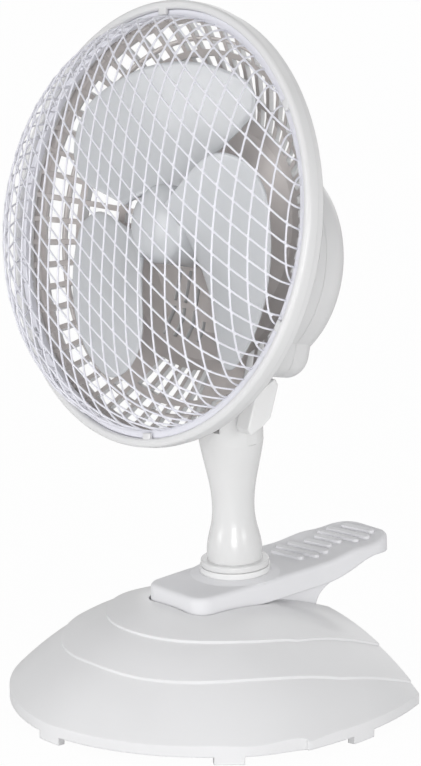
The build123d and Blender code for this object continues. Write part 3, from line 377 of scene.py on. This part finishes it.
def spin_profile(name, outline, finish, steps=192, closed=True):
    """A ring or a dish turned about the fan's axis from (radius, depth) points."""
    points, faces = [], []
    count = len(outline)
    for k in range(steps):
        a = 2 * pi * k / steps
        points += [(r * sin(a), d, r * cos(a)) for r, d in outline]
    for k in range(steps):
        for m in range(count if closed else count - 1):
            a, b = k * count + m, k * count + (m + 1) % count
            c, d = ((k + 1) % steps) * count + (m + 1) % count, ((k + 1) % steps) * count + m
            faces.append((a, b, c, d))
    return close_up(new_piece(name, points, faces, finish))


def bowl_ring(name, outer, outer_depth, inner, inner_depth):
    """A thin ring laid on the bowl's slope, from its outer edge to its inner one."""
    thick = 0.0008
    outline = [(outer, outer_depth), (inner, inner_depth), (inner, inner_depth + thick), (outer, outer_depth + thick)]
    return spin_profile(name, outline, guard_plastic)


wall_band = bowl_ring("guard_wall_band", outer=0.0908, outer_depth=0.0037, inner=0.0868, inner_depth=0.0079)
place_piece(wall_band, head_place, "head", "white_shell")
middle_ring = bowl_ring("guard_middle_ring", outer=0.0816, outer_depth=0.0126, inner=0.0800, inner_depth=0.0138)
place_piece(middle_ring, head_place, "head", "white_shell")

# ---- Motor: laminations, winding, brackets, bearings and screws
# A shaded-pole motor: stacked steel laminations, a winding wrapped in yellow tape, two die-cast brackets
# with sintered bronze bearings, and two long screws into the guard's plate.
lamination = metal("lamination", (0.30, 0.30, 0.32), 0.45, grain=(4.0, 220.0, 4.0), shade=0.45)
dress(lamination, "lamination", "stator_core")
coil_tape = coated("coil_tape", (0.62, 0.42, 0.10), 0.42, grain=0.4, grain_size=600.0, shade=0.2)
dress(coil_tape, "coil_tape", "stator_coil")
die_cast = metal("die_cast", (0.60, 0.60, 0.62), 0.48, shade=0.15)
dress(die_cast, "aluminium", "front_bracket", "rear_bracket")
bronze = metal("bronze", (0.50, 0.33, 0.16), 0.42, shade=0.2)
dress(bronze, "brass", "front_bearing", "rear_bearing")
dress(zinc_plate, "steel", "motor_screws")

# ---- Rotor: shaft and core
# A ground steel shaft with the laminated rotor pressed on it.
dress(drawn_steel, "steel", "motor_shaft")
dress(lamination, "lamination", "rotor_core")

# ---- Blades
# One gloss ABS moulding: a domed hub and three broad twisted paddles with rounded corners. It is pressed
# on the end of the motor's shaft.


def as_one(name, pieces):
    """Several meshes put together as one piece."""
    whole = bmesh.new()
    for piece in pieces:
        whole.from_mesh(piece.data)
    mesh = bpy.data.meshes.new(name)
    whole.to_mesh(mesh)
    whole.free()
    for finish in pieces[0].data.materials:
        mesh.materials.append(finish)
    for piece in pieces:
        bpy.data.objects.remove(piece)
    joined_piece = bpy.data.objects.new(name, mesh)
    bpy.context.scene.collection.objects.link(joined_piece)
    return joined_piece


blade_gloss = coated("blade_gloss", (0.62, 0.635, 0.655), 0.27, grain=0.03, grain_size=300.0, clear=0.2)


def paddle(turn):
    """One paddle, from (radius, angle): clockwise seen from the front, its rear edge further round."""
    tip, root = 0.0700, 0.0150
    twist, curl, middle_depth = 0.0150, 0.0016, 0.0015
    sheet, root_zone, edge_zone = 0.0016, 0.02, 0.0012
    rear_corner, front_corner = 0.013, 0.027
    rear_at_root, rear_gain, rear_power = 20, 26, 2.2
    front_at_root, front_gain, front_bow = 53, -2, 6
    steeper_at_hub = 0.10
    rows, columns = 44, 40

    def edge_angle(radius, rear):
        """How far round the blade's edge is at a radius; its outer corners are rounded."""
        share = (radius - root) / (tip - root)
        if rear:
            angle, corner = radians(rear_at_root + rear_gain * (1 - (1 - share) ** rear_power)), rear_corner
        else:
            reach = front_at_root + front_gain * share + front_bow * sin(pi * share)
            angle, corner = -radians(reach), front_corner
        past = radius - (tip - corner)
        if past > 0:
            drop = (corner - (corner**2 - past**2) ** 0.5) / radius
            angle += -drop if rear else drop
        return angle

    def surface(radius, angle):
        """Depth of the blade's middle sheet, a little steeper near the hub."""
        swell = 1.0 + steeper_at_hub * (1 - radius / tip)
        return middle_depth + twist * swell * angle + curl * angle**2

    points, faces = [], []
    for side in (0, 1):
        for r in range(rows + 1):
            radius = root + (tip - root) * sin(r / rows * pi / 2)
            low, high = edge_angle(radius, False), edge_angle(radius, True)
            for c in range(columns + 1):
                share = 0.5 - 0.5 * cos(c / columns * pi)
                angle = low + (high - low) * share
                inset = min((share * (high - low)) * radius, ((1 - share) * (high - low)) * radius, tip - radius)
                thick = sheet + sheet * max(0.0, 1 - (radius - root) / root_zone)
                half_thick = thick / 2 * min(1.0, (max(inset, 0.0) / edge_zone)) ** 0.5
                depth = surface(radius, angle) + sheet / 2 + (half_thick if side else -half_thick)
                points.append((radius * sin(angle + turn), depth, radius * cos(angle + turn)))
    size = (rows + 1) * (columns + 1)
    for side in (0, 1):
        for r in range(rows):
            for c in range(columns):
                a = side * size + r * (columns + 1) + c
                quad = (a, a + 1, a + columns + 2, a + columns + 1)
                faces.append(quad if side else quad[::-1])
    for c in range(columns):
        faces.append((c, c + 1, size + c + 1, size + c))
    return points, faces


blade_count, first_blade = 3, -17
blade_points, blade_faces = [], []
for k in range(blade_count):
    some_points, some_faces = paddle(radians(first_blade + 360 / blade_count * k))
    start = len(blade_points)
    blade_points += some_points
    blade_faces += [tuple(start + v for v in f) for f in some_faces]
blades = close_up(new_piece("blade_set", blade_points, blade_faces, blade_gloss))
hub_radius, hub_wall, hub_rear, hub_floor = 0.0169, 0.0020, 0.0180, 0.0015
nose_start, nose_rise, nose_steps, nose_blunt = -0.0015, 0.0070, 16, 0.95
rim_in, rim_down = 0.0004, 0.0005
hub_line = []
for k in range(nose_steps + 1):
    a = k / nose_steps * pi / 2
    hub_line.append((hub_radius * sin(a) ** nose_blunt, nose_start - nose_rise * cos(a)))
hub_line += [
    (hub_radius, hub_rear - rim_down), (hub_radius - rim_in, hub_rear),
    (hub_radius - hub_wall, hub_rear), (hub_radius - hub_wall, hub_floor), (0.0, hub_floor),
]
hub = spin_profile("hub_part", hub_line, blade_gloss, steps=96, closed=False)
fan = as_one("fan", [blades, hub])
place_piece(fan, head_place, "rotor", "blade_white", "fan_blades")

# ---- Rear cover and its screws
# A dished white ABS cap with a wide foot, slots for the motor's air and a slot for the switch. Four zinc
# plated screws in counterbores hold it to the guard's housing.
cover_plastic = coated(
    "cover_plastic", (0.68, 0.68, 0.685), 0.30, grain=0.08, grain_size=700.0, clear=0.2, soft_edge=0.0008
)
dress(cover_plastic, "white_shell", "rear_cover")
dress(zinc_plate, "steel", "cover_screws")

# ---- Switch and cord inlet
# A dark plastic slide switch behind the cover, its ribbed slider, and the ring where a cord would enter.
dark_plastic = coated(
    "dark_plastic", (0.035, 0.035, 0.04), 0.45, grain=0.2, grain_size=900.0, shade=0.15, soft_edge=0.0003
)
dress(dark_plastic, "dark_plastic", "switch_body", "switch_slider", "cord_gland")

# ---- Front ring
# White moulded ABS ring that closes the guard. It snaps round the rear guard's rim, and six small
# tabs on its inside hold the mesh's hoop.
ring_plastic = coated("ring_plastic", (0.72, 0.72, 0.725), 0.30, grain=0.10, grain_size=700.0, clear=0.2)


def rounded(corners, sizes, steps=4):
    """A closed (radius, depth) outline with its corners rounded, each by its own size."""
    done = []
    for k, (corner, size) in enumerate(zip(corners, sizes)):
        before, at, after = (Vector(corners[k - 1]), Vector(corner), Vector(corners[(k + 1) % len(corners)]))
        if size <= 0:
            done.append(tuple(at))
            continue
        one, two = (before - at).normalized(), (after - at).normalized()
        half_angle = one.angle(two) / 2
        back = size / tan(half_angle)
        centre = at + (one + two).normalized() * size / sin(half_angle)
        start, last = at + one * back - centre, at + two * back - centre
        for m in range(steps + 1):
            mixed = start.lerp(last, m / steps).normalized() * size
            done.append(tuple(centre + mixed))
    return done


ring_inner, ring_outer, ring_front = 0.0912, 0.0950, -0.0054
ring_rounds = [0.0013, 0.0016, 0.0005, 0.0004]
ring_body = spin_profile("ring_band", rounded(
    [(ring_inner, ring_front), (ring_outer, ring_front), (ring_outer, 0.0), (ring_inner, 0.0)], ring_rounds, 6,
), ring_plastic, steps=256)
place_piece(ring_body, head_place, "head", "white_shell", "front_ring")


def block(name, size, centre, turn, finish):
    """A block with softened edges, turned about the fan's axis."""
    edge, steps = 0.0004, 3
    shape = bmesh.new()
    bmesh.ops.create_cube(shape, size=1.0)
    bmesh.ops.scale(shape, vec=size, verts=shape.verts)
    bmesh.ops.bevel(shape, geom=shape.edges[:], offset=edge, segments=steps, profile=0.5, affect="EDGES")
    bmesh.ops.translate(shape, vec=centre, verts=shape.verts)
    mesh = bpy.data.meshes.new(name)
    shape.to_mesh(mesh)
    shape.free()
    mesh.transform(Matrix.Rotation(turn, 4, "Y"))
    mesh.materials.append(finish)
    mesh.polygons.foreach_set("use_smooth", [True] * len(mesh.polygons))
    piece = bpy.data.objects.new(name, mesh)
    bpy.context.scene.collection.objects.link(piece)
    return piece


tab_count, first_tab = 6, 49
tab_size, tab_centre = (0.0048, 0.0016, 0.0042), (0, -0.0042, 0.0909)
tabs = []
for k in range(tab_count):
    turn = radians(first_tab + 360 / tab_count * k)
    tabs.append(block(f"tab_{k}", tab_size, tab_centre, turn, ring_plastic))
ring_tabs = as_one("ring_tabs", tabs)
place_piece(ring_tabs, head_place, "head", "white_shell")

# ---- Front mesh
# Expanded steel sheet drawn over a domed former, its strands left standing as diamonds with a short bond
# at each crossing, its edge rolled into a flat hoop, white powder coat. It is held behind the tabs of the ring.


def settle(piece):
    """Turns a piece with live modifiers into a plain mesh."""
    bpy.context.view_layer.update()
    plain = bpy.data.meshes.new_from_object(piece.evaluated_get(bpy.context.evaluated_depsgraph_get()))
    plain.name = piece.name
    piece.modifiers.clear()
    piece.data = plain
    return piece


class NodeLine:
    """Writes sums for a node tree: each call adds one node and gives back its result."""

    def __init__(self, tree):
        self.tree = tree

    def feed(self, node, number, value):
        if isinstance(value, (int, float)):
            node.inputs[number].default_value = value
        else:
            self.tree.links.new(value, node.inputs[number])

    def sum(self, kind, a, b=0.0):
        node = add_node(self.tree, "ShaderNodeMath", operation=kind)
        self.feed(node, 0, a)
        self.feed(node, 1, b)
        return node.outputs[0]

    def point(self, x, y, z):
        node = add_node(self.tree, "ShaderNodeCombineXYZ")
        for number, value in enumerate((x, y, z)):
            self.feed(node, number, value)
        return node.outputs[0]

    def split(self, vector):
        node = add_node(self.tree, "ShaderNodeSeparateXYZ")
        self.tree.links.new(vector, node.inputs[0])
        return node.outputs

    def make(self, kind, **settings):
        return add_node(self.tree, kind, **settings)


mesh_coat = coated("mesh_coat", (0.80, 0.80, 0.86), 0.30, grain=0.15, grain_size=1400.0, shade=0.04)

strand_tree = bpy.data.node_groups.new("expanded_mesh", "GeometryNodeTree")
face = strand_tree.interface
face.new_socket("Geometry", in_out="OUTPUT", socket_type="NodeSocketGeometry")
sheet_radius, dome_radius, edge_power = 0.0980, 0.0880, 12
draw_limit = sheet_radius / ((sheet_radius / dome_radius) ** edge_power - 1) ** (1 / edge_power)
first_lean, second_lean = -29.6, -82.9
strand_points, bond_steps, wire_sides = 72, 5, 8
bond_field, bond_edge = 40, 0.975
mesh_sizes = {
    "Strands": ("NodeSocketInt", 27), "Spacing": ("NodeSocketFloat", 0.0073),
    "Radius": ("NodeSocketFloat", dome_radius), "Sheet": ("NodeSocketFloat", sheet_radius),
    "Limit": ("NodeSocketFloat", draw_limit),
    "Rise": ("NodeSocketFloat", 0.0382), "Fullness": ("NodeSocketFloat", 2.69), "Strand": ("NodeSocketFloat", 0.00043),
    "First Lean": ("NodeSocketFloat", radians(first_lean)), "Second Lean": ("NodeSocketFloat", radians(second_lean)),
    "Knuckle": ("NodeSocketFloat", 0.00058), "Bond": ("NodeSocketFloat", 0.0013),
}
for label, (kind, value) in mesh_sizes.items():
    face.new_socket(label, in_out="INPUT", socket_type=kind).default_value = value
n = NodeLine(strand_tree)
given = n.make("NodeGroupInput").outputs
result = n.make("NodeGroupOutput")


def over_dome(x, z):
    """Where a point of the flat sheet comes to lie once it is drawn over the dome; the sheet draws in at the edge."""
    out = n.sum("SQRT", n.sum("ADD", n.sum("MULTIPLY", x, x), n.sum("MULTIPLY", z, z)))
    strain = n.sum("POWER", n.sum("DIVIDE", out, given["Limit"]), edge_power)
    drawn = n.sum("POWER", n.sum("ADD", 1.0, strain), -1 / edge_power)
    share = n.sum("MINIMUM", n.sum("DIVIDE", n.sum("MULTIPLY", out, drawn), given["Radius"]), 1.0)
    fill = n.sum("SUBTRACT", 1.0, n.sum("POWER", share, given["Fullness"]))
    lift = n.sum("MULTIPLY", given["Rise"], n.sum("POWER", fill, n.sum("DIVIDE", 1.0, given["Fullness"])))
    return n.point(n.sum("MULTIPLY", x, drawn), n.sum("MULTIPLY", lift, -1.0), n.sum("MULTIPLY", z, drawn))


def lay_strands(lean):
    """One set of parallel strands, drawn as curves over the dome."""
    reach = n.sum("MULTIPLY", n.sum("SUBTRACT", given["Strands"], 1.0), n.sum("MULTIPLY", given["Spacing"], -0.5))
    row = n.make("GeometryNodeMeshLine", mode="OFFSET")
    strand_tree.links.new(given["Strands"], row.inputs["Count"])
    strand_tree.links.new(n.point(0.0, reach, 0.0), row.inputs["Start Location"])
    strand_tree.links.new(n.point(0.0, given["Spacing"], 0.0), row.inputs["Offset"])
    one = n.make("GeometryNodeCurvePrimitiveLine")
    one.inputs["Start"].default_value, one.inputs["End"].default_value = (-1, 0, 0), (1, 0, 0)
    many = n.make("GeometryNodeResampleCurve")
    many.inputs["Count"].default_value = strand_points
    strand_tree.links.new(one.outputs[0], many.inputs["Curve"])
    lay = n.make("GeometryNodeInstanceOnPoints")
    strand_tree.links.new(row.outputs[0], lay.inputs["Points"])
    strand_tree.links.new(many.outputs[0], lay.inputs["Instance"])
    real = n.make("GeometryNodeRealizeInstances")
    strand_tree.links.new(lay.outputs[0], real.inputs[0])
    share, off, _ = n.split(n.make("GeometryNodeInputPosition").outputs[0])
    chord = n.sum("SQRT", n.sum("SUBTRACT", n.sum("POWER", given["Sheet"], 2.0), n.sum("MULTIPLY", off, off)))
    along = n.sum("MULTIPLY", chord, n.sum("SINE", n.sum("MULTIPLY", share, pi / 2)))
    c, s = n.sum("COSINE", lean), n.sum("SINE", lean)
    x = n.sum("SUBTRACT", n.sum("MULTIPLY", along, c), n.sum("MULTIPLY", off, s))
    z = n.sum("ADD", n.sum("MULTIPLY", along, s), n.sum("MULTIPLY", off, c))
    moved = n.make("GeometryNodeSetPosition")
    strand_tree.links.new(real.outputs[0], moved.inputs["Geometry"])
    strand_tree.links.new(over_dome(x, z), moved.inputs["Position"])
    return moved.outputs[0]


section = n.make("GeometryNodeCurvePrimitiveCircle")
section.inputs["Resolution"].default_value = wire_sides
strand_tree.links.new(given["Strand"], section.inputs["Radius"])
joined = n.make("GeometryNodeJoinGeometry")
for lean in (given["First Lean"], given["Second Lean"]):
    swept = n.make("GeometryNodeCurveToMesh")
    strand_tree.links.new(lay_strands(lean), swept.inputs["Curve"])
    strand_tree.links.new(section.outputs[0], swept.inputs["Profile Curve"])
    swept.inputs["Fill Caps"].default_value = True
    strand_tree.links.new(swept.outputs[0], joined.inputs[0])

# A short bond lies wherever two strands cross
field = n.make("GeometryNodeMeshGrid")
for way in ("X", "Y"):
    field.inputs[f"Size {way}"].default_value = bond_field
    field.inputs[f"Vertices {way}"].default_value = bond_field + 1
i, j, _ = n.split(n.make("GeometryNodeInputPosition").outputs[0])
pitch = n.sum("MULTIPLY", given["Spacing"], 1 / sin(radians(first_lean - second_lean)))
c1, s1 = n.sum("COSINE", given["First Lean"]), n.sum("SINE", given["First Lean"])
c2, s2 = n.sum("COSINE", given["Second Lean"]), n.sum("SINE", given["Second Lean"])
x = n.sum("MULTIPLY", pitch, n.sum("ADD", n.sum("MULTIPLY", i, c1), n.sum("MULTIPLY", j, c2)))
z = n.sum("MULTIPLY", pitch, n.sum("ADD", n.sum("MULTIPLY", i, s1), n.sum("MULTIPLY", j, s2)))
spread = n.make("GeometryNodeSetPosition")
strand_tree.links.new(field.outputs[0], spread.inputs["Geometry"])
strand_tree.links.new(n.point(x, 0.0, z), spread.inputs["Position"])
beyond = n.make("GeometryNodeDeleteGeometry", domain="POINT")
strand_tree.links.new(spread.outputs[0], beyond.inputs["Geometry"])
px, _, pz = n.split(n.make("GeometryNodeInputPosition").outputs[0])
far = n.sum("SQRT", n.sum("ADD", n.sum("MULTIPLY", px, px), n.sum("MULTIPLY", pz, pz)))
too_far = n.sum("GREATER_THAN", far, n.sum("MULTIPLY", given["Sheet"], bond_edge))
strand_tree.links.new(too_far, beyond.inputs["Selection"])
middle_lean = n.sum("MULTIPLY", n.sum("ADD", given["First Lean"], given["Second Lean"]), 0.5)
reach_x = n.sum("MULTIPLY", given["Bond"], n.sum("COSINE", middle_lean))
reach_z = n.sum("MULTIPLY", given["Bond"], n.sum("SINE", middle_lean))
bond = n.make("GeometryNodeCurvePrimitiveLine")
back_x, back_z = n.sum("MULTIPLY", reach_x, -1.0), n.sum("MULTIPLY", reach_z, -1.0)
strand_tree.links.new(n.point(back_x, 0.0, back_z), bond.inputs["Start"])
strand_tree.links.new(n.point(reach_x, 0.0, reach_z), bond.inputs["End"])
bond_points = n.make("GeometryNodeResampleCurve")
bond_points.inputs["Count"].default_value = bond_steps
strand_tree.links.new(bond.outputs[0], bond_points.inputs["Curve"])
bonds = n.make("GeometryNodeInstanceOnPoints")
strand_tree.links.new(beyond.outputs[0], bonds.inputs["Points"])
strand_tree.links.new(bond_points.outputs[0], bonds.inputs["Instance"])
real = n.make("GeometryNodeRealizeInstances")
strand_tree.links.new(bonds.outputs[0], real.inputs[0])
px, _, pz = n.split(n.make("GeometryNodeInputPosition").outputs[0])
moved = n.make("GeometryNodeSetPosition")
strand_tree.links.new(real.outputs[0], moved.inputs["Geometry"])
strand_tree.links.new(over_dome(px, pz), moved.inputs["Position"])
thick = n.make("GeometryNodeCurvePrimitiveCircle")
thick.inputs["Resolution"].default_value = wire_sides
strand_tree.links.new(given["Knuckle"], thick.inputs["Radius"])
swept = n.make("GeometryNodeCurveToMesh")
strand_tree.links.new(moved.outputs[0], swept.inputs["Curve"])
strand_tree.links.new(thick.outputs[0], swept.inputs["Profile Curve"])
swept.inputs["Fill Caps"].default_value = True
strand_tree.links.new(swept.outputs[0], joined.inputs[0])
real = n.make("GeometryNodeRealizeInstances")
strand_tree.links.new(joined.outputs[0], real.inputs[0])
even = n.make("GeometryNodeSetShadeSmooth")
strand_tree.links.new(real.outputs[0], even.inputs[0])
dressed = n.make("GeometryNodeSetMaterial")
dressed.inputs["Material"].default_value = mesh_coat
strand_tree.links.new(even.outputs[0], dressed.inputs["Geometry"])
strand_tree.links.new(dressed.outputs[0], result.inputs[0])

mesh_piece = new_piece("mesh_strands", [(0, 0, 0)], [], mesh_coat)
maker = mesh_piece.modifiers.new("expand", "NODES")
maker.node_group = strand_tree
for item in strand_tree.interface.items_tree:
    if item.in_out == "INPUT":
        maker[item.identifier] = mesh_sizes[item.name][1]
settle(mesh_piece)
place_piece(mesh_piece, head_place, "head", "mesh_paint", "front_mesh")
hoop_inner, hoop_outer, hoop_front, hoop_rear = 0.0875, 0.0911, -0.0032, -0.0006
lip_outer, lip_foot, lip_front = 0.0886, 0.0888, -0.0034
hoop_rounds = [0.0003, 0.0002, 0.0, 0.0006, 0.0003, 0.0003]
hoop = spin_profile("mesh_hoop", rounded([
    (hoop_inner, lip_front), (lip_outer, lip_front), (lip_foot, hoop_front),
    (hoop_outer, hoop_front), (hoop_outer, hoop_rear), (hoop_inner, hoop_rear),
], hoop_rounds), mesh_coat)
place_piece(hoop, head_place, "head", "mesh_paint")
